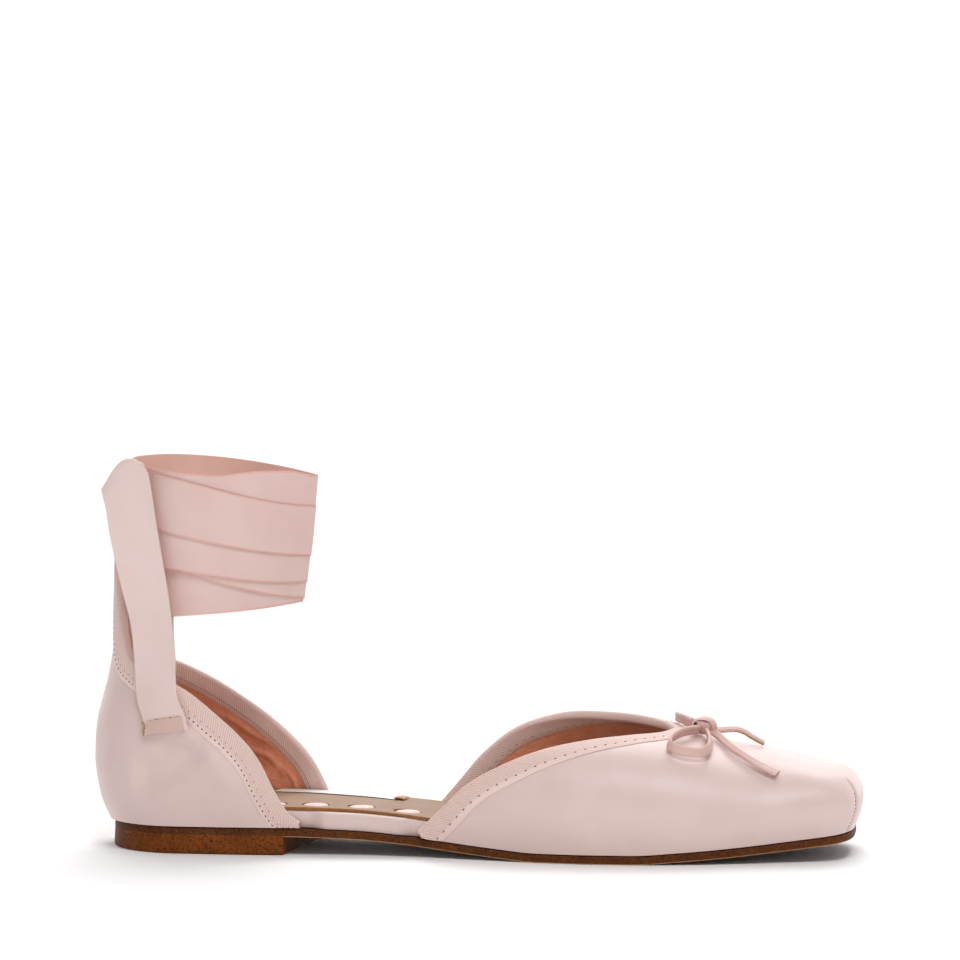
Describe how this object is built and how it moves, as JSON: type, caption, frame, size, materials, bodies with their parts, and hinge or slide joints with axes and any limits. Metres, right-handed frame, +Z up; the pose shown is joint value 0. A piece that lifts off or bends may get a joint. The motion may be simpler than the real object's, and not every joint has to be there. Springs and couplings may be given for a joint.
{
  "type": "ballet flat",
  "caption": "Square-toed ballet flat open at the waist, with a low heel, bound edges, a cord bow and ankle ribbons.",
  "frame": {"origin": "on the floor under the middle of the heel", "axes": "+X to the toe, +Y to the inner side of the foot, +Z up"},
  "size_m": [0.2508, 0.0782, 0.1272],
  "materials": {
    "satin": "pale pink duchess satin",
    "tape": "ribbed pale pink edge tape",
    "ribbon": "pale pink satin ribbon with small edge loops",
    "insole": "tan matt insole sock",
    "label": "plain white label, blank",
    "sole": "brown with dark specks, satin edge"
  },
  "bodies": {
    "root": {"outsole": "sole", "heel_block": "sole", "insole_board": "satin", "insole_sock": "insole", "insole_label": "label", "vamp": "satin", "quarter": "satin", "vamp_binding": "tape", "quarter_binding": "tape", "ribbon_strap_lateral": "ribbon", "ribbon_strap_medial": "ribbon", "ribbon_turn_1": "ribbon", "ribbon_turn_2": "ribbon", "ribbon_turn_3": "ribbon", "ribbon_turn_4": "ribbon", "ribbon_turn_5": "ribbon", "bow_knot": "satin", "bow_loop_lateral": "satin", "bow_loop_medial": "satin", "bow_tail_lateral": "satin", "bow_tail_medial": "satin"}
  },
  "joints": []
}
